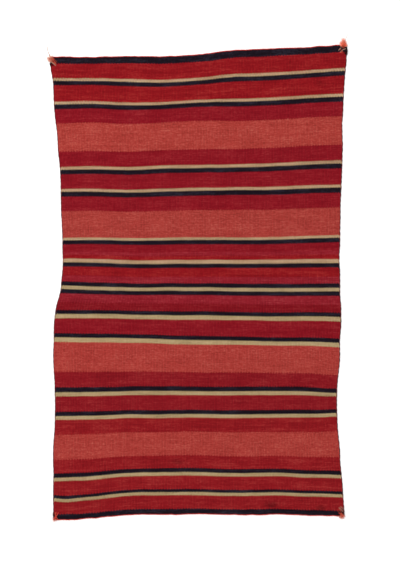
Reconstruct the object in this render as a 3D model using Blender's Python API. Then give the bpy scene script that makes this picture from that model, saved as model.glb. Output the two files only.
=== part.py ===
"""A striped wool rug of saddle-blanket size, hand-woven as weft-faced tapestry, lying flat.

+Z is up, +Y runs along the rug and +X across it. The origin is on the underside, at the middle of
the woven length, so the whole rug lies on the plane z = 0. Tables and named sizes are in millimetres.
"""

import math
from collections import namedtuple

import bmesh
import bpy
import numpy as np
from mathutils import Vector

MM = 0.001

# Driving dimensions
WOVEN_LENGTH = 1261.2
CLOTH_THICKNESS = 2.4
RIM_ROUNDING = 0.7
END_CORD_DIAMETER = 3.0
SIDE_CORD_DIAMETER = 2.6
CLEARANCE = 0.4
END_STEPS = 48
SIDE_STEPS = 64

# The two sides, drawn in at the waist: where each lies from the rug's long middle line.
SIDE_EDGES = (
    # height, left, right
    (-645, -401.5, 402.0),
    (-622, -401.0, 400.5),
    (-589, -401.0, 398.0),
    (-523, -400.5, 392.5),
    (-457, -401.5, 388.0),
    (-391, -397.0, 381.5),
    (-325, -396.0, 379.5),
    (-259, -397.5, 381.5),
    (-193, -401.0, 388.0),
    (-160, -400.0, 387.5),
    (-94, -397.5, 391.0),
    (-61, -393.5, 391.0),
    (-28, -385.0, 388.5),
    (5, -379.5, 388.0),
    (71, -374.0, 385.5),
    (137, -376.0, 387.5),
    (203, -379.5, 389.5),
    (302, -381.5, 393.0),
    (401, -388.5, 394.5),
    (500, -398.0, 397.0),
    (566, -401.5, 401.0),
    (631, -405.5, 405.5),
    (663, -407.0, 408.0),
)
LEFT, RIGHT = 1, 2

# The two woven ends: how far each rises above the straight line across half the woven length.
END_EDGES = (
    # across, upper rise, lower rise
    (0.000, -2.0, -14.5),
    (0.125, -2.0, -10.0),
    (0.250, 0.5, -1.0),
    (0.375, 0.0, 0.0),
    (0.500, 5.0, 2.0),
    (0.625, 16.5, -0.5),
    (0.750, 21.0, 0.5),
    (0.875, 26.5, -2.0),
    (1.000, 32.5, -4.5),
)
UPPER, LOWER = 1, 2
STRAIGHT_END = {UPPER: WOVEN_LENGTH / 2, LOWER: -WOVEN_LENGTH / 2}

# The corner knots. Each lies on the cloth, inside its corner, and its strands run out over the cords
# and down onto the floor. They fan about a heading, counted from +X towards +Y, and lengths are
# counted from the knot's middle. One strand of a tuft may be a long loose wisp.
CornerTuft = namedtuple(
    "CornerTuft", "end side inset knot_radius strands heading fan shortest longest wisp wisp_length"
)
CORNER_TUFTS = {
    "corner_tuft_upper_left": CornerTuft(UPPER, LEFT, 8.0, 3.4, 8, 155, 125, 14, 20, 0, 37),
    "corner_tuft_upper_right": CornerTuft(UPPER, RIGHT, 8.5, 3.8, 12, 95, 110, 16, 28, 2, 39),
    "corner_tuft_lower_left": CornerTuft(LOWER, LEFT, 8.0, 3.4, 5, 225, 90, 14, 16, None, 0),
    "corner_tuft_lower_right": CornerTuft(LOWER, RIGHT, 8.0, 3.4, 8, 278, 100, 13, 18, None, 0),
}
KNOT_HEIGHT_SHARE = 0.5
KNOT_SEGMENTS = 16
KNOT_RINGS = 8
WRAP_THICKNESS = 1.2
WRAP_PROUD = 0.35
WRAP_PLACES = (-0.36, 0.0, 0.36)
WRAP_SEGMENTS = 6
STRAND_THICKNESS = 1.1
STRAND_TIP_SHARE = 0.45
STRAND_STEPS = 7
STRAND_BEND = math.radians(0.45)
STRAND_DROP = 5.0
STRAND_ROOT_SHARE = 0.3
SHORT_STRAND_SHARE = 0.7
WELD_DISTANCE = 0.00001

SCARLET_WOOL = (0.31, 0.012, 0.016, 1.0)
MAROON_WOOL = (0.10, 0.010, 0.020, 1.0)
ORANGE_WOOL = (0.62, 0.11, 0.045, 1.0)


def smooth(rows, column, at):
    """Reads a table's column at a value of its first column, on a smooth curve through the rows."""
    table = np.array([(row[0], row[column]) for row in rows], float)
    places, values = table[:, 0], table[:, 1]
    slopes = np.gradient(values, places)
    i = int(np.clip(np.searchsorted(places, at) - 1, 0, len(places) - 2))
    span = places[i + 1] - places[i]
    t = (at - places[i]) / span
    return float(
        (2 * t**3 - 3 * t**2 + 1) * values[i]
        + (t**3 - 2 * t**2 + t) * span * slopes[i]
        + (3 * t**2 - 2 * t**3) * values[i + 1]
        + (t**3 - t**2) * span * slopes[i + 1]
    )


def end_height(end, across, inset):
    """The height of a woven end's edge, drawn in towards the rug's middle by an inset."""
    inwards = -1 if end == UPPER else 1
    return STRAIGHT_END[end] + smooth(END_EDGES, end, across) + inwards * inset


def side_place(side, height, inset):
    """The x of a side's edge at a height, drawn in towards the rug's middle by an inset."""
    inwards = 1 if side == LEFT else -1
    return smooth(SIDE_EDGES, side, height) + inwards * inset


def end_points(end, end_inset, side_inset):
    """Points along a woven end, from left to right."""
    points = []
    for step in range(END_STEPS + 1):
        across = step / END_STEPS
        height = end_height(end, across, end_inset)
        left = side_place(LEFT, height, side_inset)
        right = side_place(RIGHT, height, side_inset)
        points.append((left + (right - left) * across, height))
    return points


def side_points(side, end_inset, side_inset):
    """Points along a side, from the lower end to the upper one."""
    across = 0.0 if side == LEFT else 1.0
    low = end_height(LOWER, across, end_inset)
    high = end_height(UPPER, across, end_inset)
    heights = [low + (high - low) * step / SIDE_STEPS for step in range(SIDE_STEPS + 1)]
    return [(side_place(side, height, side_inset), height) for height in heights]


def wool(name, color):
    """A matt wool material."""
    material = bpy.data.materials.new(name)
    material.use_nodes = True
    shader = material.node_tree.nodes["Principled BSDF"]
    shader.inputs["Base Color"].default_value = color
    shader.inputs["Roughness"].default_value = 0.95
    shader.inputs["Metallic"].default_value = 0.0
    return material


def add_curve(name, points, collection, closed=False):
    """A curve object with one straight-stepped spline through points given in millimetres."""
    curve = bpy.data.curves.new(name, "CURVE")
    spline = curve.splines.new("POLY")
    spline.points.add(len(points) - 1)
    for target, point in zip(spline.points, points):
        target.co = (point[0] * MM, point[1] * MM, point[2] * MM, 1.0)
    spline.use_cyclic_u = closed
    curve_object = bpy.data.objects.new(name, curve)
    collection.objects.link(curve_object)
    return curve_object


def add_cloth(collection):
    """The woven sheet, one flat solid inside the ring of cords, with a softened rim."""
    end_inset = END_CORD_DIAMETER + CLEARANCE
    side_inset = SIDE_CORD_DIAMETER + CLEARANCE
    outline = (
        end_points(UPPER, end_inset, side_inset)
        + side_points(RIGHT, end_inset, side_inset)[-2:0:-1]
        + end_points(LOWER, end_inset, side_inset)[::-1]
        + side_points(LEFT, end_inset, side_inset)[1:-1]
    )
    cloth = add_curve("woven_cloth", [(x, y, 0.0) for x, y in outline], collection, closed=True)
    cloth.location.z = CLOTH_THICKNESS / 2 * MM
    shape = cloth.data
    shape.dimensions = "2D"
    shape.fill_mode = "BOTH"
    shape.bevel_depth = RIM_ROUNDING * MM
    shape.bevel_resolution = 1
    shape.offset = -RIM_ROUNDING * MM
    shape.extrude = (CLOTH_THICKNESS / 2 - RIM_ROUNDING) * MM
    shape.materials.append(wool("scarlet_wool", SCARLET_WOOL))


def add_cord(name, points, diameter, material, collection):
    """A cord lying on the floor along a line of points."""
    centre_height = diameter / 2
    cord = add_curve(name, [(x, y, centre_height) for x, y in points], collection)
    cord.data.dimensions = "3D"
    cord.data.bevel_depth = diameter / 2 * MM
    cord.data.bevel_resolution = 2
    cord.data.use_fill_caps = True
    cord.data.materials.append(material)


def add_cords(collection):
    """The selvage cords: one along each woven end, one along each side between them."""
    end_material = wool("end_cord_wool", ORANGE_WOOL)
    side_material = wool("side_cord_wool", MAROON_WOOL)
    end_radius = END_CORD_DIAMETER / 2
    side_radius = SIDE_CORD_DIAMETER / 2
    for name, end in (("end_cord_upper", UPPER), ("end_cord_lower", LOWER)):
        points = end_points(end, end_radius, 0.0)
        add_cord(name, points, END_CORD_DIAMETER, end_material, collection)
    for name, side in (("side_cord_left", LEFT), ("side_cord_right", RIGHT)):
        points = side_points(side, END_CORD_DIAMETER + CLEARANCE, side_radius)
        add_cord(name, points, SIDE_CORD_DIAMETER, side_material, collection)


def corner_place(tuft):
    """The rug's outer corner where a tuft belongs."""
    y = end_height(tuft.end, 0.0 if tuft.side == LEFT else 1.0, 0.0)
    return side_place(tuft.side, y, 0.0), y


def knot_centre(tuft):
    """The middle of a corner knot, lying on the cloth inside the corner."""
    x, y = corner_place(tuft)
    half_height = (tuft.knot_radius + WRAP_PROUD) * KNOT_HEIGHT_SHARE
    return Vector((
        x + (tuft.inset if tuft.side == LEFT else -tuft.inset),
        y + (-tuft.inset if tuft.end == UPPER else tuft.inset),
        CLOTH_THICKNESS + CLEARANCE + half_height,
    ))


def beyond_edge(tuft, x, y):
    """How far a point near a tuft's corner lies outside the rug's edge, below 0 over the rug."""
    corner_x, corner_y = corner_place(tuft)
    left = side_place(LEFT, corner_y, 0.0)
    right = side_place(RIGHT, corner_y, 0.0)
    across = min(max((x - left) / (right - left), 0.0), 1.0)
    past_end = (y - end_height(tuft.end, across, 0.0)) * (1 if tuft.end == UPPER else -1)
    past_side = (x - corner_x) * (-1 if tuft.side == LEFT else 1)
    return max(past_end, past_side)


def strand_height(tuft, x, y, half):
    """The height of a strand's middle: over the cords, then down to rest on the floor."""
    over_cords = END_CORD_DIAMETER + CLEARANCE + STRAND_THICKNESS / 2
    fall = min(max(beyond_edge(tuft, x, y) / STRAND_DROP, 0.0), 1.0)
    fall = fall**2 * (3 - 2 * fall)
    return over_cords + (half - over_cords) * fall


def strand_length(tuft, index):
    """A strand's length: longest in the middle of the fan, every other one shorter."""
    if index == tuft.wisp:
        return tuft.wisp_length
    bulge = math.sin(math.pi * (index + 0.5) / tuft.strands)
    uneven = SHORT_STRAND_SHARE if index % 2 else 1.0
    return tuft.shortest + (tuft.longest - tuft.shortest) * bulge * uneven


def add_strand(name, tuft, index, collection):
    """A tapered four-sided strand from inside the knot out to the floor, as a mesh object."""
    centre = knot_centre(tuft)
    heading = math.radians(tuft.heading + tuft.fan * ((index + 0.5) / tuft.strands - 0.5))
    root = tuft.knot_radius * STRAND_ROOT_SHARE
    length = strand_length(tuft, index)
    points = []
    radii = []
    for step in range(STRAND_STEPS + 1):
        share = step / STRAND_STEPS
        reach = root + (length - root) * share
        turn = heading + STRAND_BEND * reach
        half = STRAND_THICKNESS / 2 * (1 - (1 - STRAND_TIP_SHARE) * share)
        x = centre.x + reach * math.cos(turn)
        y = centre.y + reach * math.sin(turn)
        points.append((x, y, strand_height(tuft, x, y, half)))
        radii.append(half * math.sqrt(2))
    strand = add_curve(name, points, collection)
    shape = strand.data
    shape.dimensions = "3D"
    shape.twist_mode = "Z_UP"
    shape.bevel_depth = MM
    shape.bevel_resolution = 0
    shape.use_fill_caps = True
    for point, radius in zip(shape.splines[0].points, radii):
        point.radius = radius
        point.tilt = math.radians(45)
    return as_mesh(strand, collection)


def as_mesh(curve_object, collection):
    """Replaces a curve object by a mesh object of the same name, its caps welded."""
    name = curve_object.name
    bpy.context.view_layer.update()
    evaluated = curve_object.evaluated_get(bpy.context.evaluated_depsgraph_get())
    mesh = bpy.data.meshes.new_from_object(evaluated)
    work = bmesh.new()
    work.from_mesh(mesh)
    bmesh.ops.remove_doubles(work, verts=work.verts, dist=WELD_DISTANCE)
    bmesh.ops.recalc_face_normals(work, faces=work.faces)
    work.to_mesh(mesh)
    work.free()
    place = curve_object.matrix_world.copy()
    bpy.data.objects.remove(curve_object)
    mesh_object = bpy.data.objects.new(name, mesh)
    mesh_object.matrix_world = place
    collection.objects.link(mesh_object)
    return mesh_object


def add_wrap(name, tuft, place, collection):
    """One turn of yarn round a knot, standing across the strands' heading, as a mesh object."""
    turn = math.radians(tuft.heading)
    along = Vector((math.cos(turn), math.sin(turn), 0.0))
    outer_radius = tuft.knot_radius * math.sqrt(1 - place**2) + WRAP_PROUD
    bpy.ops.mesh.primitive_torus_add(
        major_segments=KNOT_SEGMENTS,
        minor_segments=WRAP_SEGMENTS,
        major_radius=(outer_radius - WRAP_THICKNESS / 2) * MM,
        minor_radius=WRAP_THICKNESS / 2 * MM,
        location=(knot_centre(tuft) + along * tuft.knot_radius * place) * MM,
        rotation=(0.0, math.radians(90), turn),
    )
    wrap = bpy.context.object
    wrap.name = name
    wrap.scale.x = KNOT_HEIGHT_SHARE
    for holder in list(wrap.users_collection):
        holder.objects.unlink(wrap)
    collection.objects.link(wrap)
    return wrap


def hide_as_operand(operand):
    """Marks an object that only lends its shape to a knot."""
    operand.hide_render = True
    operand.display_type = "WIRE"


def add_knot(name, tuft, material, collection):
    """A flattened ball of yarn, the body of a corner knot."""
    mesh = bpy.data.meshes.new(name)
    work = bmesh.new()
    bmesh.ops.create_uvsphere(
        work, u_segments=KNOT_SEGMENTS, v_segments=KNOT_RINGS, radius=tuft.knot_radius * MM
    )
    bmesh.ops.scale(work, vec=(1.0, 1.0, KNOT_HEIGHT_SHARE), verts=work.verts)
    bmesh.ops.translate(work, vec=knot_centre(tuft) * MM, verts=work.verts)
    work.to_mesh(mesh)
    work.free()
    mesh.materials.append(material)
    mesh.shade_smooth()
    knot = bpy.data.objects.new(name, mesh)
    collection.objects.link(knot)
    return knot


def add_corner_tufts(collection, operands):
    """The corner knots, each fused with its turns of yarn and the strands that stand out of it."""
    material = wool("tuft_wool", ORANGE_WOOL)
    for name, tuft in CORNER_TUFTS.items():
        yarns = bpy.data.collections.new(name + "_yarns")
        operands.children.link(yarns)
        for index, place in enumerate(WRAP_PLACES):
            hide_as_operand(add_wrap(f"{name}_wrap_{index}", tuft, place, yarns))
        for index in range(tuft.strands):
            hide_as_operand(add_strand(f"{name}_strand_{index}", tuft, index, yarns))
        knot = add_knot(name, tuft, material, collection)
        union = knot.modifiers.new("yarns", "BOOLEAN")
        union.operation = "UNION"
        union.operand_type = "COLLECTION"
        union.collection = yarns
        union.solver = "EXACT"


def build():
    """Makes the whole rug in an empty scene."""
    for old in list(bpy.data.objects):
        bpy.data.objects.remove(old)
    rug = bpy.data.collections.new("striped_rug")
    operands = bpy.data.collections.new("strand_operands")
    bpy.context.scene.collection.children.link(rug)
    bpy.context.scene.collection.children.link(operands)
    add_cloth(rug)
    add_cords(rug)
    add_corner_tufts(rug, operands)


build()
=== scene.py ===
"""The looks of a striped saddle-size wool rug: weave, yarns, selvage cords, stitches and corner tufts.

Tables and named sizes are in millimetres. +Y runs along the rug, +X across it and +Z up.
"""

import math
from collections import namedtuple

import bpy
import numpy as np
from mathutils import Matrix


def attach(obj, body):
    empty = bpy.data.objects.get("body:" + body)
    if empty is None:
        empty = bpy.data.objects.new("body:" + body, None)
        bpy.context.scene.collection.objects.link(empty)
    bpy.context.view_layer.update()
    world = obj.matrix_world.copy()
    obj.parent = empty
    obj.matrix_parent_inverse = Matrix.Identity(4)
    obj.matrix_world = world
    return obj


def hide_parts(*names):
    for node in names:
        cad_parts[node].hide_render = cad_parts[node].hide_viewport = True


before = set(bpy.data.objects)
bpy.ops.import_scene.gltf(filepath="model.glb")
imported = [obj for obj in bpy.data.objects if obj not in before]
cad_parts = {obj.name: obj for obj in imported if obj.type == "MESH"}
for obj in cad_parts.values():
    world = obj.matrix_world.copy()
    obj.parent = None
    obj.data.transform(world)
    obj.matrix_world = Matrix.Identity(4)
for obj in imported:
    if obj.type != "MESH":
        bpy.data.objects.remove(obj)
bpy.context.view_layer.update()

MM = 0.001

# The rug's outline and its stripes, in the part's own sizes
WOVEN_LENGTH = 1261.2
CLOTH_THICKNESS = 2.4
END_CORD_DIAMETER = 3.0
SIDE_CORD_DIAMETER = 2.6
CLEARANCE = 0.4
CLOTH_START = 1.7
CLOTH_END = WOVEN_LENGTH - CLOTH_START
CLOTH_SIDE_INSET = 1.5

# The two sides, drawn in at the waist: where each lies from the rug's long middle line.
SIDE_EDGES = np.array([
    # height, left, right
    (-645, -401.5, 402.0),
    (-622, -401.0, 400.5),
    (-589, -401.0, 398.0),
    (-523, -400.5, 392.5),
    (-457, -401.5, 388.0),
    (-391, -397.0, 381.5),
    (-325, -396.0, 379.5),
    (-259, -397.5, 381.5),
    (-193, -401.0, 388.0),
    (-160, -400.0, 387.5),
    (-94, -397.5, 391.0),
    (-61, -393.5, 391.0),
    (-28, -385.0, 388.5),
    (5, -379.5, 388.0),
    (71, -374.0, 385.5),
    (137, -376.0, 387.5),
    (203, -379.5, 389.5),
    (302, -381.5, 393.0),
    (401, -388.5, 394.5),
    (500, -398.0, 397.0),
    (566, -401.5, 401.0),
    (631, -405.5, 405.5),
    (663, -407.0, 408.0),
])
LEFT, RIGHT = 1, 2

# The bow of the wefts: how far each rises above a straight one, at every eighth of the width.
WEFT_LINES = np.array([
    # woven, left side, 1/8, 2/8, 3/8, 4/8, 5/8, 6/8, 7/8, right side
    (0.0, -2.0, -2.0, 0.5, 0.0, 5.0, 16.5, 21.0, 26.5, 32.5),
    (73.0, 4.5, 4.5, 2.0, 0.0, 6.0, 15.5, 19.0, 26.0, 32.5),
    (134.0, 0.5, 2.5, -1.5, 0.0, 6.5, 8.5, 11.5, 18.0, 22.5),
    (309.0, -4.0, -3.0, -5.0, 0.0, 1.0, 2.5, 5.5, 10.5, 13.5),
    (372.5, -1.0, -1.0, -3.5, 0.0, 2.0, 3.5, 4.5, 8.5, 10.5),
    (506.5, -0.5, 0.5, -1.5, 0.0, 1.0, 0.5, 1.5, 4.5, 7.0),
    (571.0, 3.5, 3.0, -0.5, 0.0, 0.5, 0.5, 1.0, 2.0, 2.0),
    (645.0, 5.0, 1.5, -0.5, 0.0, -0.5, -1.5, -2.0, -2.5, -2.0),
    (712.0, 3.0, 3.0, 2.0, 0.0, -0.5, -2.0, -3.5, -3.0, -5.0),
    (777.5, 5.0, 3.5, 3.0, 0.0, -3.0, -3.5, -6.5, -7.5, -10.0),
    (920.0, -4.0, -3.5, -1.0, 0.0, -1.0, -1.0, -0.5, -1.5, -6.0),
    (984.0, -5.0, -4.0, 0.0, 0.0, 1.0, 0.0, 1.0, 1.0, 3.0),
    (1144.0, -15.5, -11.0, -2.0, 0.0, 1.0, -2.0, -1.0, -4.5, -7.0),
    (1198.5, -16.0, -13.0, -1.5, 0.0, 0.5, -1.5, -0.5, -3.0, -5.5),
    (1261.2, -14.5, -10.0, -1.0, 0.0, 2.0, -0.5, 0.5, -2.0, -4.5),
])
EIGHTHS = np.linspace(0.0, 1.0, 9)

# Short dips and humps in the wefts that the eighths miss.
WEFT_DIPS = (
    # share of the width, woven, reach in width, reach in woven, rise
    (0.045, 1203.0, 0.034, 22.0, -4.2),
    (0.80, 790.0, 0.22, 9.0, 2.0),
    (0.70, 724.0, 0.09, 8.0, 1.8),
    (0.03, 562.0, 0.03, 12.0, 1.2),
    (0.06, 0.0, 0.035, 10.0, 1.2),
    (0.56, 0.0, 0.055, 12.0, 2.0),
    (0.71, 0.0, 0.030, 10.0, 1.5),
    (0.84, 0.0, 0.030, 10.0, -0.8),
    (0.05, WOVEN_LENGTH, 0.035, 10.0, -2.3),
    (0.15, WOVEN_LENGTH, 0.050, 10.0, -0.9),
    (0.44, WOVEN_LENGTH, 0.045, 10.0, -1.6),
    (0.72, WOVEN_LENGTH, 0.050, 10.0, -1.2),
    (0.90, WOVEN_LENGTH, 0.020, 8.0, -1.3),
)

# Short bulges of the sides.
SIDE_BULGES = (
    # side, height, reach, shift to the right
    (LEFT, 618.0, 12.0, -2.2),
    (LEFT, 597.0, 24.0, -3.9),
    (LEFT, 470.0, 75.0, -1.2),
    (LEFT, 368.0, 22.0, -1.5),
    (LEFT, 95.0, 26.0, -1.8),
    (LEFT, -8.0, 16.0, 1.5),
    (RIGHT, 612.0, 14.0, 1.8),
    (RIGHT, 445.0, 20.0, -1.9),
    (RIGHT, 380.0, 18.0, 1.3),
    (RIGHT, 225.0, 40.0, -1.0),
    (RIGHT, 112.0, 18.0, 1.1),
    (RIGHT, 38.0, 12.0, 1.2),
    (RIGHT, -489.0, 26.0, -1.9),
    (RIGHT, -600.0, 50.0, -1.1),
)

# The yarns: the colour as red, green and blue from 0 to 255, the paler one that it strays to, how
# much whole wefts stray, and how flecked the yarn is.
Yarn = namedtuple("Yarn", "color pale streak fleck")
YARNS = {
    "indigo": Yarn((26, 16, 26), (84, 84, 104), 0.45, 0.65),
    "scarlet": Yarn((148, 19, 27), (206, 84, 72), 0.52, 0.72),
    "crimson": Yarn((141, 18, 31), (196, 80, 80), 0.40, 0.70),
    "plum": Yarn((148, 29, 41), (200, 92, 96), 0.42, 0.72),
    "dark_crimson": Yarn((134, 17, 28), (184, 76, 78), 0.42, 0.70),
    "brick_red": Yarn((142, 21, 31), (196, 84, 78), 0.42, 0.72),
    "lower_red": Yarn((148, 23, 30), (204, 88, 78), 0.52, 0.72),
    "upper_salmon": Yarn((176, 60, 53), (226, 134, 118), 0.36, 1.05),
    "middle_salmon": Yarn((173, 59, 53), (220, 130, 114), 0.34, 1.08),
    "lower_salmon": Yarn((176, 59, 53), (222, 130, 114), 0.32, 1.08),
    "tan": Yarn((186, 154, 117), (224, 200, 170), 0.60, 0.95),
    "olive_tan": Yarn((182, 157, 114), (216, 196, 160), 0.60, 0.95),
}

# The stripes in the order of weaving, from the upper end.
BANDS = (
    # yarn, woven length where the stripe ends
    ("indigo", 21.0),
    ("scarlet", 65.4),
    ("tan", 72.7),
    ("indigo", 84.5),
    ("scarlet", 126.8),
    ("tan", 133.7),
    ("indigo", 146.0),
    ("crimson", 183.5),
    ("upper_salmon", 258.0),
    ("crimson", 300.3),
    ("tan", 308.4),
    ("indigo", 321.5),
    ("crimson", 364.2),
    ("tan", 371.8),
    ("indigo", 385.5),
    ("crimson", 425.5),
    ("middle_salmon", 499.2),
    ("tan", 506.0),
    ("indigo", 518.0),
    ("crimson", 539.0),
    ("plum", 549.5),
    ("scarlet", 561.0),
    ("tan", 571.0),
    ("indigo", 582.5),
    ("scarlet", 606.5),
    ("plum", 624.0),
    ("indigo", 635.6),
    ("olive_tan", 644.8),
    ("indigo", 656.5),
    ("plum", 680.0),
    ("dark_crimson", 701.0),
    ("indigo", 712.2),
    ("olive_tan", 723.8),
    ("crimson", 766.5),
    ("indigo", 778.0),
    ("olive_tan", 790.2),
    ("lower_salmon", 867.0),
    ("brick_red", 907.0),
    ("indigo", 920.3),
    ("olive_tan", 931.0),
    ("brick_red", 973.0),
    ("indigo", 985.0),
    ("olive_tan", 994.7),
    ("lower_red", 1034.0),
    ("lower_salmon", 1098.0),
    ("lower_red", 1133.0),
    ("indigo", 1144.3),
    ("olive_tan", 1153.5),
    ("lower_red", 1190.5),
    ("indigo", 1199.0),
    ("olive_tan", 1207.4),
    ("lower_red", 1245.0),
    ("indigo", CLOTH_END),
)

# The weave
WARPS = 209
RIB_PLACES = (0.0, 0.22, 0.5, 0.78)
RIB_HEIGHTS = (0.0, 0.72, 1.0, 0.72)
RIB_DEPTH = 0.9
CREST_HEIGHT = 2.65
ROW_SPACING = 27.0
RIM_STEP = 1.4
TOOTH = 1.4
ODD_RIB_DROP = 0.08
PICK_HEIGHT = 1.45
WEFT_WANDER = 0.6
END_WANDER = 0.8
SIDE_WANDER = 0.6
WEAVE_MAP = "weave_map"

# Marks on the wool: where each lies, how far it reaches and how dark it is.
STAINS = (
    # x, y, reach across, reach along, darkening
    (-60, -485, 24, 11, 0.30),
    (199, -602, 26, 13, 0.38),
    (335, -610, 20, 8, 0.35),
    (333, 556, 18, 10, 0.18),
)

# The camera, and what of the floor its frame shows
CAMERA_LENS = 100.0
CAMERA_SENSOR = 36.0
FRAME_PIXELS = 562
PIXEL = 2.75
FRAME_CENTRE = (2.75, 12.4)


def smooth(places, values, at):
    """Reads values, a column or a table with a row for each place, on a smooth curve through them."""
    slopes = np.gradient(values, places, axis=0)
    at = np.asarray(at, float)
    i = np.clip(np.searchsorted(places, at) - 1, 0, len(places) - 2)
    span = places[i + 1] - places[i]
    t = (at - places[i]) / span
    if values.ndim == 2:
        span = span[:, None]
        t = t[:, None]
    return (
        (2 * t**3 - 3 * t**2 + 1) * values[i]
        + (t**3 - 2 * t**2 + t) * span * slopes[i]
        + (3 * t**2 - 2 * t**3) * values[i + 1]
        + (t**3 - t**2) * span * slopes[i + 1]
    )


def side_x(side, height):
    """The x of the rug's left or right side at a height."""
    x = smooth(SIDE_EDGES[:, 0], SIDE_EDGES[:, side], height)
    for bulge_side, middle, reach, shift in SIDE_BULGES:
        if bulge_side == side:
            x = x + shift * np.exp(-(((height - middle) / reach) ** 2))
    return x


def wander(values, seed, waves=((0.031, 1.0), (0.073, 0.6), (0.17, 0.35))):
    """A smooth uneven line between about -1 and 1, the same on each run."""
    values = np.asarray(values, float)
    total = 0.0
    for rate, size in waves:
        swing = 2.3 * np.sin(values * rate * 0.37 + seed)
        total = total + size * np.sin(values * rate + seed * (1.7 + 9.1 * rate) + swing)
    return total / sum(size for rate, size in waves)


def rug_grid(woven, across, side_inset=0.0):
    """x and y where wefts at woven lengths cross warps at shares of the width, one row a weft."""
    woven = np.asarray(woven, float)
    across = np.asarray(across, float)
    rises = smooth(WEFT_LINES[:, 0], WEFT_LINES[:, 1:], woven)
    rise = smooth(EIGHTHS, rises.T, across).T
    for dip_across, dip_woven, reach_across, reach_woven, height in WEFT_DIPS:
        near_weft = np.exp(-(((woven - dip_woven) / reach_woven) ** 2))
        near_warp = np.exp(-(((across - dip_across) / reach_across) ** 2))
        rise = rise + height * near_weft[:, None] * near_warp
    place = across[None, :] * WARPS * 3.75
    from_end = np.minimum(woven, WOVEN_LENGTH - woven)[:, None]
    rise = rise + WEFT_WANDER * wander(place, 0.004 * woven[:, None])
    rise = rise + END_WANDER * np.exp(-from_end / 40) * wander(place, 3.0, ((0.082, 1.0), (0.19, 0.5)))
    y = WOVEN_LENGTH / 2 - woven[:, None] + rise
    left = side_x(LEFT, y) + side_inset + SIDE_WANDER * wander(y, 1.0)
    right = side_x(RIGHT, y) - side_inset + SIDE_WANDER * wander(y, 2.0)
    return left + (right - left) * across[None, :], y


def linear(color):
    """A colour seen, from 0 to 255, as the light values that shaders take."""
    shares = [c / 255 for c in color]
    return tuple(c / 12.92 if c <= 0.04045 else ((c + 0.055) / 1.055) ** 2.4 for c in shares)


class Graph:
    """Adds shader nodes to a tree and links them."""

    def __init__(self, tree):
        self.tree = tree

    def add(self, kind, inputs=None, **settings):
        made = self.tree.nodes.new(kind)
        for name, value in settings.items():
            setattr(made, name, value)
        for name, value in (inputs or {}).items():
            if isinstance(value, bpy.types.NodeSocket):
                self.tree.links.new(value, made.inputs[name])
            else:
                made.inputs[name].default_value = value
        return made

    def math(self, operation, *values):
        made = self.tree.nodes.new("ShaderNodeMath")
        made.operation = operation
        for socket, value in zip(made.inputs, values):
            if isinstance(value, bpy.types.NodeSocket):
                self.tree.links.new(value, socket)
            else:
                socket.default_value = value
        return made.outputs[0]

    def spread(self, value, low, high, to_low, to_high):
        made = self.add(
            "ShaderNodeMapRange",
            {"Value": value, "From Min": low, "From Max": high, "To Min": to_low, "To Max": to_high},
        )
        return made.outputs["Result"]

    def noise(self, x, y, scale_x, scale_y, detail=2.0, seed=0.0):
        place = self.add(
            "ShaderNodeCombineXYZ",
            {"X": self.math("MULTIPLY", x, scale_x), "Y": self.math("MULTIPLY", y, scale_y), "Z": seed},
        )
        made = self.add(
            "ShaderNodeTexNoise",
            {"Vector": place.outputs["Vector"], "Scale": 1.0, "Detail": detail, "Roughness": 0.55},
            noise_dimensions="3D",
        )
        return self.math("SUBTRACT", made.outputs["Fac"], 0.5)


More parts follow.
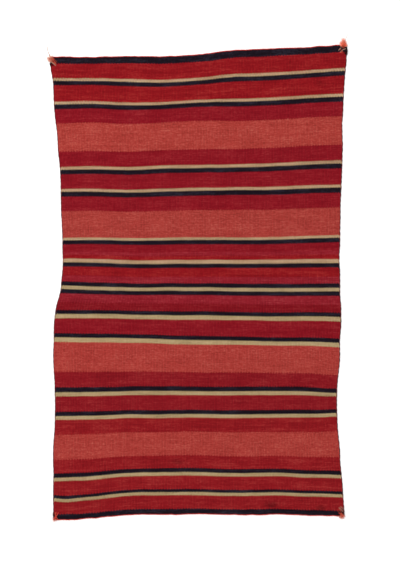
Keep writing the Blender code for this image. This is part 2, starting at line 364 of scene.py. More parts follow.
def weave_group():
    """The pattern shared by all yarns: the picks' relief, streaks, flecks, painted shade and stains."""
    tree = bpy.data.node_groups.new("weave", "ShaderNodeTree")
    for name in ("Relief", "Streak", "Fleck", "Shade", "Stain"):
        tree.interface.new_socket(name, in_out="OUTPUT", socket_type="NodeSocketFloat")
    graph = Graph(tree)
    place = graph.add("ShaderNodeUVMap", uv_map=WEAVE_MAP)
    parts = graph.add("ShaderNodeSeparateXYZ", {"Vector": place.outputs["UV"]})
    warp, weft = parts.outputs["X"], parts.outputs["Y"]
    in_rib = graph.math("FRACT", warp)
    rib = graph.math("SINE", graph.math("MULTIPLY", in_rib, math.pi))
    odd_rib = graph.math("FLOORED_MODULO", graph.math("FLOOR", warp), 2.0)
    odd = graph.math("MULTIPLY", odd_rib, 0.5)
    slant = graph.math("MULTIPLY", graph.math("SUBTRACT", in_rib, 0.5), 0.45)
    uneven = graph.math("MULTIPLY", graph.noise(warp, weft, 0.35, 0.25, seed=6.0), 1.2)
    turn = graph.math("ADD", graph.math("DIVIDE", weft, PICK_HEIGHT), graph.math("ADD", odd, slant))
    turn = graph.math("MULTIPLY", graph.math("ADD", turn, uneven), 2 * math.pi)
    bead = graph.math("POWER", graph.math("MULTIPLY_ADD", graph.math("COSINE", turn), 0.5, 0.5), 0.6)
    fibres = graph.noise(warp, weft, 1.6, 4.5, detail=4.0, seed=4.0)
    picks = graph.math("MULTIPLY", bead, rib)
    relief = graph.math("MULTIPLY_ADD", picks, 0.9, graph.math("MULTIPLY", fibres, 0.7))
    long_streaks = graph.noise(warp, weft, 0.02, 0.12, seed=1.0)
    fine_streaks = graph.noise(warp, weft, 0.07, 0.36, seed=2.0)
    patches = graph.noise(warp, weft, 0.06, 0.035, seed=3.0)
    streak = graph.math("ADD", graph.math("ADD", long_streaks, fine_streaks), patches)
    coarse_fleck = graph.noise(warp, weft, 0.34, 0.30, detail=3.0, seed=5.0)
    fine_fleck = graph.noise(warp, weft, 1.15, 0.75, detail=1.0, seed=7.0)
    fleck = graph.math("MULTIPLY_ADD", fine_fleck, 0.85, coarse_fleck)
    # Painted shade: the colour darkens in the valleys between the ribs, in the gaps between the picks, where
    # the fibre bump is low, and on the lower odd ribs.
    valley = graph.spread(rib, 0.0, 0.6, 0.62, 1.0)
    between = graph.spread(bead, 0.0, 0.7, 0.74, 1.0)
    painted_fibre_shade = graph.math("MULTIPLY_ADD", fibres, 0.7, 1.0)
    unlike = graph.spread(graph.noise(warp, weft, 0.09, 0.03, seed=8.0), -0.2, 0.2, 0.0, -0.15)
    painted_odd_rib_shade = graph.math("MULTIPLY_ADD", odd_rib, unlike, 1.0)
    painted_gap_shade = graph.math("MULTIPLY", valley, between)
    shade = graph.math("MULTIPLY", painted_gap_shade, graph.math("MULTIPLY", painted_fibre_shade, painted_odd_rib_shade))
    output = graph.add("NodeGroupOutput", {
        "Relief": relief,
        "Streak": streak,
        "Fleck": fleck,
        "Shade": shade,
        "Stain": stain_strength(graph),
    })
    output.is_active_output = True
    return tree


def stain_strength(graph):
    """How far the wool is darkened by old marks, from where it lies on the rug."""
    place = graph.add("ShaderNodeTexCoord")
    parts = graph.add("ShaderNodeSeparateXYZ", {"Vector": place.outputs["Object"]})
    rough = graph.add(
        "ShaderNodeTexNoise", {"Vector": place.outputs["Object"], "Scale": 90.0, "Detail": 3.0}
    )
    ragged = graph.math("MULTIPLY", graph.math("SUBTRACT", rough.outputs["Fac"], 0.5), 1.6)
    total = 0.0
    for x, y, reach_x, reach_y, darkening in STAINS:
        dx = graph.math("DIVIDE", graph.math("SUBTRACT", parts.outputs["X"], x * MM), reach_x * MM)
        dy = graph.math("DIVIDE", graph.math("SUBTRACT", parts.outputs["Y"], y * MM), reach_y * MM)
        squares = graph.math("ADD", graph.math("POWER", dx, 2.0), graph.math("POWER", dy, 2.0))
        away = graph.math("SQRT", squares)
        soft = graph.spread(graph.math("ADD", away, ragged), 0.2, 1.1, darkening, 0.0)
        total = graph.math("ADD", soft, total)
    return total


def wool_shader(material):
    """A matt shader with the slight bloom of wool."""
    material.use_nodes = True
    shader = material.node_tree.nodes["Principled BSDF"]
    shader.inputs["Roughness"].default_value = 1.0
    shader.inputs["Specular IOR Level"].default_value = 0.06
    shader.inputs["Sheen Weight"].default_value = 0.02
    shader.inputs["Sheen Roughness"].default_value = 0.5
    return Graph(material.node_tree), shader


def add_bump(graph, shader, height, strength, depth):
    """Links a bump of a depth in millimetres to a shader."""
    bump = graph.add("ShaderNodeBump", {"Height": height, "Strength": strength, "Distance": depth * MM})
    graph.tree.links.new(bump.outputs["Normal"], shader.inputs["Normal"])


def tinted(graph, shader, base, pale, tint, value):
    """Links a colour that turns from base to pale with tint, and darkens with value."""
    mix = graph.add("ShaderNodeMix", data_type="RGBA")
    mix.inputs["Factor"].default_value = 0.0
    graph.tree.links.new(tint, mix.inputs[0])
    mix.inputs[6].default_value = linear(base) + (1.0,)
    mix.inputs[7].default_value = linear(pale) + (1.0,)
    final = graph.add("ShaderNodeVectorMath", {0: mix.outputs[2]}, operation="SCALE")
    graph.tree.links.new(value, final.inputs["Scale"])
    graph.tree.links.new(final.outputs["Vector"], shader.inputs["Base Color"])


def yarn_material(name, yarn, weave):
    """Dyed wool as woven: uneven from weft to weft and flecked, with painted shade between the ribs and
    picks.
    """
    material = bpy.data.materials.new(name + "_wool")
    graph, shader = wool_shader(material)
    pattern = graph.add("ShaderNodeGroup", node_tree=weave)
    streak = graph.math("MULTIPLY", pattern.outputs["Streak"], yarn.streak)
    stray = graph.math("MULTIPLY_ADD", pattern.outputs["Fleck"], yarn.fleck, streak)
    darker = graph.spread(stray, -1.0, 0.0, 0.0, 1.0)
    clean = graph.math("SUBTRACT", 1.0, pattern.outputs["Stain"])
    # The weave's painted shade darkens the yarn colour here, along with the real stains.
    value = graph.math("MULTIPLY", graph.math("MULTIPLY", darker, pattern.outputs["Shade"]), clean)
    tinted(graph, shader, yarn.color, yarn.pale, graph.spread(stray, 0.0, 1.0, 0.0, 1.0), value)
    add_bump(graph, shader, pattern.outputs["Relief"], 0.9, 0.5)
    return material


def strand_material(name, color, tip, root=1.0):
    """Spun or loose wool, paling to its tip and shaded down to the root share at its root."""
    material = bpy.data.materials.new(name)
    graph, shader = wool_shader(material)
    along = graph.add("ShaderNodeUVMap", uv_map=WEAVE_MAP)
    share = graph.add("ShaderNodeSeparateXYZ", {"Vector": along.outputs["UV"]}).outputs["Y"]
    place = graph.add("ShaderNodeTexCoord")
    fuzz = graph.add(
        "ShaderNodeTexNoise",
        {"Vector": place.outputs["Object"], "Scale": 1500.0, "Detail": 3.0, "Roughness": 0.6},
    )
    value = graph.spread(fuzz.outputs["Fac"], 0.3, 0.7, 0.72, 1.25)
    if root < 1:
        value = graph.math("MULTIPLY", value, graph.spread(share, 0.2, 0.55, root, 1.0))
    tinted(graph, shader, color, tip, graph.spread(share, 0.42, 1.0, 0.0, 1.0), value)
    add_bump(graph, shader, fuzz.outputs["Fac"], 0.5, 0.25)
    return material


def add_mesh(name, points, faces, materials, face_slots=None, maps=None):
    """A smooth mesh object from points in millimetres, with a map value for each point."""
    mesh = bpy.data.meshes.new(name)
    mesh.from_pydata((np.asarray(points, float) * MM).tolist(), [], faces)
    for material in materials:
        mesh.materials.append(material)
    if face_slots is not None:
        mesh.polygons.foreach_set("material_index", np.asarray(face_slots, np.int32))
    if maps is not None:
        corners = np.empty(len(mesh.loops), np.int32)
        mesh.loops.foreach_get("vertex_index", corners)
        layer = mesh.uv_layers.new(name=WEAVE_MAP)
        layer.data.foreach_set("uv", np.asarray(maps, np.float32)[corners].ravel())
    mesh.shade_smooth()
    mesh.validate()
    made = bpy.data.objects.new(name, mesh)
    bpy.context.scene.collection.objects.link(made)
    return made


def woven_rows():
    """Woven lengths of the mesh's rows, and for each strip between two rows its yarn."""
    rows = [CLOTH_START, CLOTH_START + RIM_STEP]
    yarns = [BANDS[0][0]]
    edges = set()
    start = rows[-1]
    for index, (yarn, end) in enumerate(BANDS):
        stop = end if index < len(BANDS) - 1 else CLOTH_END - RIM_STEP
        count = max(1, math.ceil((stop - start) / ROW_SPACING))
        for step in range(1, count + 1):
            rows.append(start + (stop - start) * step / count)
            yarns.append(yarn)
        if index < len(BANDS) - 1:
            edges.add(len(rows) - 1)
        start = stop
    rows.append(CLOTH_END)
    yarns.append(BANDS[-1][0])
    return np.array(rows), yarns, edges


def tooth_offsets(rows, edges, ribs, crest):
    """How far each point of a stripe's edge is shifted, so that two yarns meet in teeth."""
    offsets = np.zeros((len(rows), len(ribs)))
    side = np.where(np.floor(ribs) % 2 < 1, 1.0, -1.0) * np.minimum(crest * 1.25, 1.0)
    for row in edges:
        place = np.floor(ribs) * 3.7
        size = TOOTH * (0.75 + 0.4 * wander(place * 3, row))
        offsets[row] = side * size + 0.35 * wander(place, row + 0.5)
    return offsets


def rib_relief(ribs):
    """How high each point lies on its rib, from 0 in the valley to 1 on the crown."""
    return np.interp(ribs % 1, RIB_PLACES + (1.0,), RIB_HEIGHTS + (0.0,))


def add_cloth(materials, yarn_slots):
    """The tapestry: ribs over the warps on its face, stripes that meet in teeth, a closed thin sheet."""
    rows, yarns, edges = woven_rows()
    top_ribs = np.array([rib + place for rib in range(WARPS) for place in RIB_PLACES] + [float(WARPS)])
    low_ribs = np.arange(WARPS + 1, dtype=float)
    points = []
    maps = []
    for ribs, is_top in ((top_ribs, True), (low_ribs, False)):
        crest = rib_relief(ribs) if is_top else np.full(len(ribs), 0.4)
        offsets = tooth_offsets(rows, edges, ribs, crest)
        x, y = rug_grid(rows, ribs / WARPS, CLOTH_SIDE_INSET)
        z = np.zeros((len(rows), len(ribs)))
        if is_top:
            swell = 0.12 * wander(ribs * 3.7, 0.013 * rows[:, None])
            low = RIB_DEPTH * (1 - crest) + ODD_RIB_DROP * (np.floor(ribs) % 2) * crest
            z = CREST_HEIGHT - low[None, :] + swell
            z[[0, -1]] *= 0.7
            z[:, [0, -1]] = 1.3
        else:
            z[[0, -1]] = 0.5
            z[:, [0, -1]] = 0.5
        points.append(np.stack([x, y - offsets, z], axis=-1).reshape(-1, 3))
        woven = rows[:, None] + offsets
        maps.append(np.stack([np.broadcast_to(ribs, woven.shape), woven], axis=-1).reshape(-1, 2))
    faces = []
    slots = []
    wide, narrow = len(top_ribs), len(low_ribs)
    under = len(points[0])
    for row in range(len(rows) - 1):
        slot = yarn_slots[yarns[row]]
        for column in range(wide - 1):
            a = row * wide + column
            faces.append((a, a + wide, a + wide + 1, a + 1))
        for column in range(narrow - 1):
            a = under + row * narrow + column
            faces.append((a, a + 1, a + narrow + 1, a + narrow))
        left, left_low = row * wide, under + row * narrow
        right, right_low = left + wide - 1, left_low + narrow - 1
        faces.append((left, left_low, left_low + narrow, left + wide))
        faces.append((right, right + wide, right_low + narrow, right_low))
        slots += [slot] * (wide + narrow)
    per_rib = len(RIB_PLACES)
    last, last_low = (len(rows) - 1) * wide, under + (len(rows) - 1) * narrow
    for rib in range(WARPS):
        first_top = [rib * per_rib + step for step in range(per_rib + 1)]
        faces.append(tuple(first_top) + (under + rib + 1, under + rib))
        faces.append(tuple(last + i for i in reversed(first_top)) + (last_low + rib, last_low + rib + 1))
        slots += [yarn_slots[yarns[0]], yarn_slots[yarns[-1]]]
    return add_mesh("tapestry", np.concatenate(points), faces, materials, slots, np.concatenate(maps))


def frames_along(path):
    """For each point of a path, a level sideways direction and one square to it and to the path."""
    path = np.asarray(path, float)
    along = np.gradient(path, axis=0)
    along /= np.linalg.norm(along, axis=1, keepdims=True)
    sideways = np.stack([-along[:, 1], along[:, 0], np.zeros(len(path))], axis=1)
    sideways /= np.maximum(np.linalg.norm(sideways, axis=1, keepdims=True), 1e-9)
    return sideways, np.cross(along, sideways)


def tube(path, radii, sides, map_x=0.0, map_low=0.0, map_high=1.0):
    """Points, faces and map values of a closed round tube along a path."""
    path = np.asarray(path, float)
    radii = np.broadcast_to(np.asarray(radii, float), (len(path),))
    sideways, upwards = frames_along(path)
    turns = np.arange(sides) * 2 * math.pi / sides
    across = np.cos(turns)[None, :, None] * sideways[:, None, :]
    ring = across + np.sin(turns)[None, :, None] * upwards[:, None, :]
    points = (path[:, None, :] + ring * radii[:, None, None]).reshape(-1, 3)
    faces = []
    for step in range(len(path) - 1):
        for side in range(sides):
            a = step * sides + side
            b = step * sides + (side + 1) % sides
            faces.append((a, b, b + sides, a + sides))
    faces.append(tuple(reversed(range(sides))))
    faces.append(tuple((len(path) - 1) * sides + side for side in range(sides)))
    along = np.repeat(np.linspace(map_low, map_high, len(path)), sides)
    around = np.tile(turns / (2 * math.pi) * 3, len(path)) + map_x
    return points, faces, np.stack([around, along], axis=1)


class Bundle:
    """Gathers tubes into one mesh."""

    def __init__(self):
        self.points, self.faces, self.maps, self.slots = [], [], [], []
        self.count = 0

    def add(self, piece, slot=0):
        points, faces, maps = piece
        self.points.append(points)
        self.maps.append(maps)
        self.faces += [tuple(i + self.count for i in face) for face in faces]
        self.slots += [slot] * len(faces)
        self.count += len(points)

    def build(self, name, materials):
        return add_mesh(
            name, np.concatenate(self.points), self.faces, materials, self.slots, np.concatenate(self.maps)
        )


def evenly(path, spacing):
    """A path's points taken again at an even spacing along it."""
    path = np.asarray(path, float)
    steps = np.linalg.norm(np.diff(path, axis=0), axis=1)
    gone = np.concatenate([[0.0], np.cumsum(steps)])
    at = np.linspace(0.0, gone[-1], max(2, round(gone[-1] / spacing) + 1))
    return np.stack([np.interp(at, gone, path[:, axis]) for axis in range(3)], axis=1), at


def lay_plies(path, turns, lay_radius, ply_radius, sides=6):
    """Two tubes laid round each other along a path, turned by an angle at each of its points."""
    sideways, upwards = frames_along(path)
    plies = []
    for ply in range(2):
        turn = turns + math.pi * ply
        line = path + lay_radius * (np.cos(turn)[:, None] * sideways + np.sin(turn)[:, None] * upwards)
        plies.append(tube(line, ply_radius, sides, map_high=0.3))
    return plies


# The two plies of the end cords, then the two of the side cords.
CORD_PLIES = {
    "red": (206, 66, 52),
    "dark_red": (170, 42, 38),
    "dark": (58, 20, 27),
    "maroon": (108, 25, 34),
}
END_CORD_PITCH = 14.8
SIDE_CORD_PITCH = 30.0
SCALLOP_DEPTH = {LEFT: 0.6, RIGHT: 1.0}
PLY_SHARE = 0.29
SIDE_PLY_GAP = 0.1
SIDE_CORD_START = 1.5
SIDE_CORD_STEP = 1.6
END_CORD_POINTS = 400


def cord_turns(woven, side):
    """How far a side cord's plies have turned; they cross where the wefts bind them down."""
    return 2 * math.pi * woven / SIDE_CORD_PITCH + 0.9 * wander(woven, side * 5.0)


def side_path(side, woven, radius):
    """The middle line of a side cord, which bulges between its bound places."""
    x, y = rug_grid(woven, [0.0 if side == LEFT else 1.0])
    outwards = -1 if side == LEFT else 1
    bulge = SCALLOP_DEPTH[side] * (np.abs(np.cos(cord_turns(woven, side))) - 0.5)
    shift = outwards * (bulge - radius)
    return np.stack([x[:, 0] + shift, y[:, 0], np.full(len(woven), radius)], axis=1)


def end_path(woven, shift):
    """The middle line of an end cord."""
    x, y = rug_grid([woven], np.linspace(0.0, 1.0, END_CORD_POINTS))
    line = np.stack([x[0], y[0] + shift, np.full(END_CORD_POINTS, END_CORD_DIAMETER / 2)], axis=1)
    return evenly(line, END_CORD_PITCH / 10)


def add_cords(materials):
    """The four selvage cords, each of two plies."""
    red, dark_red, dark, maroon = materials
    radius = END_CORD_DIAMETER / 2
    cords = []
    for name, woven, shift in (("upper", 0.0, -radius), ("lower", WOVEN_LENGTH, radius)):
        path, at = end_path(woven, shift)
        ply_radius = END_CORD_DIAMETER * PLY_SHARE
        bundle = Bundle()
        turns = 2 * math.pi * at / END_CORD_PITCH
        for slot, ply in enumerate(lay_plies(path, turns, radius - ply_radius, ply_radius)):
            bundle.add(ply, slot)
        cord = bundle.build(f"end_selvage_{name}", [red, dark_red])
        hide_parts(f"end_cord_{name}")
        cords.append(cord)
    woven = np.arange(SIDE_CORD_START, WOVEN_LENGTH - SIDE_CORD_START, SIDE_CORD_STEP)
    radius = SIDE_CORD_DIAMETER / 2
    for name, side in (("left", LEFT), ("right", RIGHT)):
        path = side_path(side, woven, radius)
        ply_radius = SIDE_CORD_DIAMETER * PLY_SHARE
        bundle = Bundle()
        turns = cord_turns(woven, side)
        for slot, ply in enumerate(lay_plies(path, turns, radius - ply_radius + SIDE_PLY_GAP, ply_radius)):
            bundle.add(ply, slot)
        cord = bundle.build(f"side_selvage_{name}", [dark, maroon])
        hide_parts(f"side_cord_{name}")
        cords.append(cord)
    return cords


def yarn_at(woven):
    """The yarn woven at a length from the upper end."""
    for yarn, end in BANDS:
        if woven <= end:
            return yarn
    return BANDS[-1][0]


EDGE_LOOP_RADIUS = 0.55
EDGE_LOOP_STEP = 1.3
EDGE_LOOP_END_GAP = 3
EDGE_LOOP_SLANT = 0.5
CORD_CROSSING = 0.38


def add_edge_loops(materials, yarn_slots):
    """The wefts that bind the side cords down where their plies cross."""
    loops = []
    for name, side in (("left", LEFT), ("right", RIGHT)):
        bundle = Bundle()
        outwards = -1 if side == LEFT else 1
        woven = np.arange(CLOTH_START + EDGE_LOOP_END_GAP, CLOTH_END - EDGE_LOOP_END_GAP, EDGE_LOOP_STEP)
        middle = side_path(side, woven, SIDE_CORD_DIAMETER / 2)
        crossing = np.abs(np.cos(cord_turns(woven, side)))
        reach = SIDE_CORD_DIAMETER / 2 + 0.1
        for index in np.flatnonzero(crossing < CORD_CROSSING):
            angles = np.radians(np.linspace(170, -20, 9))
            line = np.stack([
                middle[index, 0] + outwards * reach * np.cos(angles),
                middle[index, 1] + EDGE_LOOP_SLANT * np.cos(angles),
                middle[index, 2] + reach * np.sin(angles),
            ], axis=1)
            at = woven[index]
            piece = tube(line, EDGE_LOOP_RADIUS, 5, map_x=index + 0.2, map_low=at, map_high=at + 0.4)
            bundle.add(piece, yarn_slots[yarn_at(woven[index])])
        loop = bundle.build(f"edge_wefts_{name}", materials)
        loops.append(loop)
    return loops


# The corner knots and tufts: the knot's place, size and tone, and the locks of fibres that fan out
# of it, longest in the middle of the fan.
CornerTuft = namedtuple(
    "CornerTuft",
    "end side inset_x inset_y knot_radius knot_tone tone locks heading fan shortest longest fibres",
)
UPPER, LOWER = 1, 2
CORNER_TUFTS = {
    "corner_tuft_upper_left":
        CornerTuft(UPPER, LEFT, 6.5, 8.0, 3.4, "rust", "rose", 10, 160, 132, 13, 21, 17),
    "corner_tuft_upper_right":
        CornerTuft(UPPER, RIGHT, 11.0, 8.0, 3.8, "brown", "coral", 15, 79, 132, 13, 30, 22),
    "corner_tuft_lower_left":
        CornerTuft(LOWER, LEFT, 7.0, 7.0, 3.0, "red", "brick", 7, 238, 120, 10, 15, 10),
    "corner_tuft_lower_right":
        CornerTuft(LOWER, RIGHT, 9.5, 8.0, 3.4, "rust", "brick", 10, 282, 116, 12, 18, 17),
}
STRAND_TONES = {
    # tone: colour, colour of the tips, shade at the roots
    "coral": ((242, 92, 62), (252, 200, 176), 0.50),
    "rose": ((206, 108, 86), (248, 206, 180), 0.55),
    "brick": ((204, 80, 64), (252, 206, 192), 0.75),
    "rust": ((180, 74, 56), (216, 150, 132), 1.0),
    "red": ((192, 60, 52), (200, 90, 76), 1.0),
    "pale": ((240, 160, 132), (250, 222, 202), 0.6),
    "brown": ((136, 54, 42), (190, 120, 100), 1.0),
    "cream": ((176, 134, 116), (208, 184, 166), 1.0),
    "dark": ((30, 10, 11), (30, 10, 11), 1.0),
    "umber": ((80, 33, 26), (80, 33, 26), 1.0),
}
TONE_SLOTS = {tone: slot for slot, tone in enumerate(STRAND_TONES)}
KNOT_HEIGHT_SHARE = 0.5
KNOT_TURNS = 4
KNOT_YARN = 1.7
FIBRE_STEPS = 12
FIBRE_TAPER = (0.34, 0.1)
WISP_HAIRS = 6
WISP_STEPS = 24
WISP_TAPER = (0.34, 0.2)
YARN_PITCH = 4.5
STRAND_BEND = math.radians(0.45)
STRAND_DROP = 5.0
PALE_SHARE = 0.12

# Single wisps longer than their tufts, fine as hair.
WISPS = (
    # tuft, heading, bend for each mm, length, tone
    ("corner_tuft_upper_left", 136, -0.55, 47, "cream"),
    ("corner_tuft_upper_right", 73, -0.02, 42, "cream"),
)


def corner_place(end, side):
    """The rug's outer corner."""
    x, y = rug_grid([0.0 if end == UPPER else WOVEN_LENGTH], [0.0 if side == LEFT else 1.0])
    return float(x[0, 0]), float(y[0, 0])


def knot_centre(tuft):
    """The middle of a corner knot, lying on the cloth inside the corner."""
    x, y = corner_place(tuft.end, tuft.side)
    return np.array([
        x + (tuft.inset_x if tuft.side == LEFT else -tuft.inset_x),
        y + (-tuft.inset_y if tuft.end == UPPER else tuft.inset_y),
        CLOTH_THICKNESS + CLEARANCE + tuft.knot_radius * KNOT_HEIGHT_SHARE,
    ])


def beyond_edge(tuft, x, y):
    """How far points near a tuft's corner lie outside the rug's edge, below 0 over the rug."""
    edge_x, edge_y = rug_grid([0.0 if tuft.end == UPPER else WOVEN_LENGTH], np.linspace(0.0, 1.0, 200))
    past_end = (y - np.interp(x, edge_x[0], edge_y[0])) * (1 if tuft.end == UPPER else -1)
    corner_x, corner_y = corner_place(tuft.end, tuft.side)
    past_side = (x - corner_x) * (-1 if tuft.side == LEFT else 1)
    return np.maximum(past_end, past_side)


def fan_line(tuft, heading, bend, length, steps, curl=0.0, phase=0.0, lift=0.0):
    """A fibre's middle line, from inside the knot over the cords and down to the floor."""
    centre = knot_centre(tuft)
    reach = np.linspace(tuft.knot_radius * 0.3, length, steps)
    turn = heading + bend * reach + curl * np.sin(reach * 0.32 + phase) * reach / length
    x = centre[0] + reach * np.cos(turn)
    y = centre[1] + reach * np.sin(turn)
    over = END_CORD_DIAMETER + 0.6
    fall = np.clip(beyond_edge(tuft, x, y) / STRAND_DROP, 0.0, 1.0)
    fall = fall**2 * (3 - 2 * fall)
    z = over + (0.4 - over) * fall + lift * np.sin(np.linspace(0.0, math.pi, steps))
    return np.stack([x, y, z], axis=1)


def add_lock(bundle, tuft, draw, share):
    """A lock of curling fibres that draws to a point."""
    heading = math.radians(tuft.heading + tuft.fan * share)
    length = tuft.shortest + (tuft.longest - tuft.shortest) * (1 - 2 * abs(share)) ** 1.7
    for fibre in range(tuft.fibres):
        aside = draw.normal(0.0, 0.09)
        line = fan_line(
            tuft, heading + aside, STRAND_BEND - aside * 0.03, length * draw.uniform(0.55, 1.05), FIBRE_STEPS,
            curl=draw.uniform(-0.22, 0.22), phase=draw.uniform(0.0, 6.3), lift=draw.uniform(0.0, 2.4),
        )
        tone = "pale" if draw.random() < PALE_SHARE else tuft.tone
        piece = tube(line, np.linspace(*FIBRE_TAPER, FIBRE_STEPS), 4, map_high=draw.uniform(0.7, 1.0))
        bundle.add(piece, TONE_SLOTS[tone])


def add_yarn(bundle, path, thickness, tone):
    """A two-ply yarn along a path."""
    path, at = evenly(path, YARN_PITCH / 8)
    ply_radius = thickness * PLY_SHARE
    turns = 2 * math.pi * at / YARN_PITCH
    for ply in lay_plies(path, turns, thickness / 2 - ply_radius, ply_radius, sides=5):
        bundle.add(ply, TONE_SLOTS[tone])


def add_knot(bundle, tuft):
    """A corner knot as one yarn wound across its axis."""
    share = np.linspace(-0.8, 0.8, KNOT_TURNS * 16)
    angle = np.linspace(0.0, KNOT_TURNS * 2 * math.pi, len(share))
    radius = tuft.knot_radius * np.sqrt(1 - share**2) - 0.4
    heading = math.radians(tuft.heading)
    along = np.array([math.cos(heading), math.sin(heading), 0.0])
    aside = np.array([-along[1], along[0], 0.0])
    upwards = np.array([0.0, 0.0, KNOT_HEIGHT_SHARE])
    path = (
        knot_centre(tuft)
        + along * (share * tuft.knot_radius)[:, None]
        + aside * (radius * np.cos(angle))[:, None]
        + upwards * (radius * np.sin(angle))[:, None]
    )
    add_yarn(bundle, path, KNOT_YARN, tuft.knot_tone)


def add_tufts(materials):
    """The wound knots and the frayed cord ends that fan out of them."""
    tufts = []
    for order, (name, tuft) in enumerate(CORNER_TUFTS.items()):
        draw = np.random.default_rng(40 + order)
        bundle = Bundle()
        add_knot(bundle, tuft)
        for lock in range(tuft.locks):
            add_lock(bundle, tuft, draw, (lock + 0.5) / tuft.locks - 0.5 + draw.uniform(-0.02, 0.02))
        for wisp_tuft, heading, bend, length, tone in WISPS:
            for hair in range(WISP_HAIRS if wisp_tuft == name else 0):
                line = fan_line(
                    tuft, math.radians(heading + hair * 1.6), math.radians(bend - hair * 0.03),
                    length - hair * 4.0, WISP_STEPS, curl=0.04, phase=hair * 0.9,
                )
                bundle.add(tube(line, np.linspace(*WISP_TAPER, WISP_STEPS), 4), TONE_SLOTS[tone])
        piece = bundle.build(name + "_fibres", materials)
        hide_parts(name)
        tufts.append(piece)
    return tufts


# Yarns sewn over the corners to hold the cords' ends, measured from each outer corner.
STITCHES = (
    # end, side, from x, from y, to x, to y, bow, thickness, tone
    (UPPER, LEFT, 0.0, -5.0, 14.5, -19.0, 0.8, 3.0, "rust"),
    (UPPER, LEFT, 4.5, -2.5, 18.0, -16.5, 0.5, 2.4, "brown"),
    (UPPER, LEFT, -0.5, -9.5, 15.5, -21.5, -0.5, 2.6, "rust"),
    (UPPER, LEFT, -1.5, -12.5, 14.5, -25.5, 0.4, 2.4, "cream"),
    (UPPER, LEFT, -1.2, -17.5, 1.0, -26.5, -0.8, 4.4, "dark"),
    (UPPER, LEFT, 2.5, -19.5, 6.5, -25.0, 0.0, 2.6, "dark"),
    (UPPER, RIGHT, -21.0, -9.5, -12.0, -24.5, 0.6, 2.8, "brown"),
    (UPPER, RIGHT, -24.5, -17.0, -16.0, -8.5, 0.4, 2.2, "cream"),
    (UPPER, RIGHT, -19.5, -21.0, -9.5, -12.0, -0.4, 2.2, "cream"),
    (UPPER, RIGHT, -21.5, -21.5, -12.0, -18.0, -2.6, 2.8, "red"),
    (UPPER, RIGHT, -9.5, -14.0, -4.0, -11.0, 0.0, 2.6, "cream"),
    (UPPER, RIGHT, -2.4, -7.0, -1.6, -28.0, 1.0, 4.2, "dark"),
    (UPPER, RIGHT, -7.0, -16.0, -5.0, -27.0, 0.0, 4.2, "dark"),
    (LOWER, RIGHT, -16.5, 26.5, -3.5, 12.5, 0.5, 2.1, "cream"),
    (LOWER, RIGHT, -18.0, 23.5, -7.0, 8.0, 0.5, 2.0, "rust"),
    (LOWER, RIGHT, -11.5, 28.5, -3.0, 19.0, 0.5, 2.1, "cream"),
    (LOWER, RIGHT, -20.0, 18.0, -11.0, 5.5, 0.5, 2.0, "brown"),
    (LOWER, RIGHT, -16.0, 10.5, -7.0, 5.0, 0.0, 2.8, "red"),
    (LOWER, RIGHT, -4.5, 24.0, -3.2, 4.5, 0.9, 3.4, "umber"),
    (LOWER, RIGHT, -8.5, 26.0, -6.5, 20.0, 0.0, 2.6, "umber"),
    (LOWER, LEFT, 15.5, 22.0, 1.0, 3.5, 1.6, 2.8, "red"),
    (LOWER, LEFT, 6.5, 22.5, 13.5, 1.5, -2.2, 2.8, "rust"),
    (LOWER, LEFT, 9.5, 21.5, 5.5, 0.5, -1.4, 2.6, "red"),
    (LOWER, LEFT, 5.5, 3.0, 17.5, 0.8, -1.0, 2.6, "red"),
    (LOWER, LEFT, 1.6, 23.0, 1.8, 8.0, -1.0, 3.2, "umber"),
)


def add_stitches(materials):
    """Short lengths of yarn over the corners, rising out of the cloth and going back into it."""
    bundle = Bundle()
    for end, side, from_x, from_y, to_x, to_y, bow, thickness, tone in STITCHES:
        corner = np.array(corner_place(end, side))
        start = corner + (from_x, from_y)
        reach = np.array([to_x - from_x, to_y - from_y])
        aside = np.array([-reach[1], reach[0]]) / np.linalg.norm(reach)
        share = np.linspace(0.0, 1.0, 15)
        arch = np.sin(math.pi * share)
        flat = start + share[:, None] * reach + (bow * arch)[:, None] * aside
        height = 0.7 + (CLOTH_THICKNESS + thickness * 0.35 - 0.7) * arch**0.45
        add_yarn(bundle, np.column_stack([flat, height]), thickness, tone)
    stitches = bundle.build("corner_stitches", materials)
    return stitches


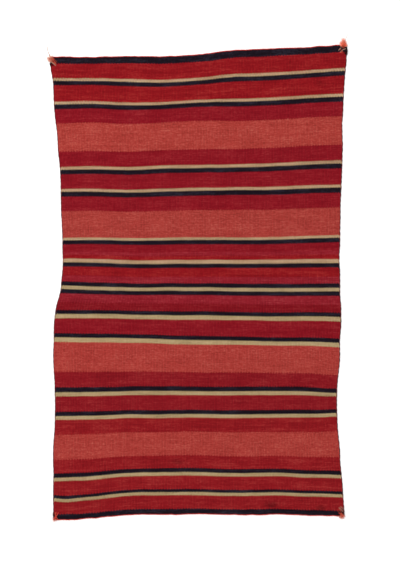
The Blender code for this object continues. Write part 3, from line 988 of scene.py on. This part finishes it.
def add_camera():
    """The camera straight above the rug, as far off as its lens needs for the whole frame."""
    camera = bpy.data.objects.new("camera", bpy.data.cameras.new("camera"))
    camera.data.lens = CAMERA_LENS
    camera.data.sensor_width = CAMERA_SENSOR
    distance = CAMERA_LENS * (FRAME_PIXELS * PIXEL) / CAMERA_SENSOR * MM
    camera.location = (FRAME_CENTRE[0] * MM, FRAME_CENTRE[1] * MM, distance)
    bpy.context.scene.collection.objects.link(camera)
    bpy.context.scene.camera = camera


def add_floor():
    """A plain white floor."""
    material = bpy.data.materials.new("white_floor")
    material.use_nodes = True
    shader = material.node_tree.nodes["Principled BSDF"]
    shader.inputs["Base Color"].default_value = (0.92, 0.92, 0.92, 1.0)
    shader.inputs["Roughness"].default_value = 1.0
    shader.inputs["Specular IOR Level"].default_value = 0.0
    shader.inputs["Emission Color"].default_value = (1.0, 1.0, 1.0, 1.0)
    shader.inputs["Emission Strength"].default_value = 0.1
    bpy.ops.mesh.primitive_plane_add(size=16.0, location=(0.0, 0.0, -0.0003))
    floor = bpy.context.object
    floor.name = "floor"
    floor.data.materials.append(material)


def add_lights():
    """Even white light all round and one large soft lamp from the upper left."""
    world = bpy.data.worlds.new("studio")
    bpy.context.scene.world = world
    world.use_nodes = True
    background = world.node_tree.nodes["Background"]
    background.inputs["Color"].default_value = (1.0, 1.0, 1.0, 1.0)
    background.inputs["Strength"].default_value = 0.9
    lamp = bpy.data.lights.new("soft_key", "AREA")
    lamp.shape = "SQUARE"
    lamp.size = 2.5
    lamp.energy = 95.0
    key = bpy.data.objects.new("soft_key", lamp)
    key.location = (-2.2, 1.6, 3.2)
    key.rotation_euler = (-key.location).to_track_quat("-Z", "Y").to_euler()
    bpy.context.scene.collection.objects.link(key)


def build():
    """Dresses the frame."""
    bpy.context.scene.view_settings.view_transform = "Standard"
    add_camera()
    weave = weave_group()
    materials = [yarn_material(name, yarn, weave) for name, yarn in YARNS.items()]
    yarn_slots = {name: slot for slot, name in enumerate(YARNS)}
    cloth = add_cloth(materials, yarn_slots)
    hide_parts("woven_cloth")
    cord_materials = [strand_material(ply + "_cord", color, color) for ply, color in CORD_PLIES.items()]
    tones = [strand_material(tone + "_yarn", *colors) for tone, colors in STRAND_TONES.items()]
    others = add_cords(cord_materials)
    others += add_edge_loops(materials, yarn_slots)
    others += add_tufts(tones)
    others.append(add_stitches(tones))
    for piece in [cloth] + others:
        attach(piece, "root")
    add_floor()
    add_lights()


build()
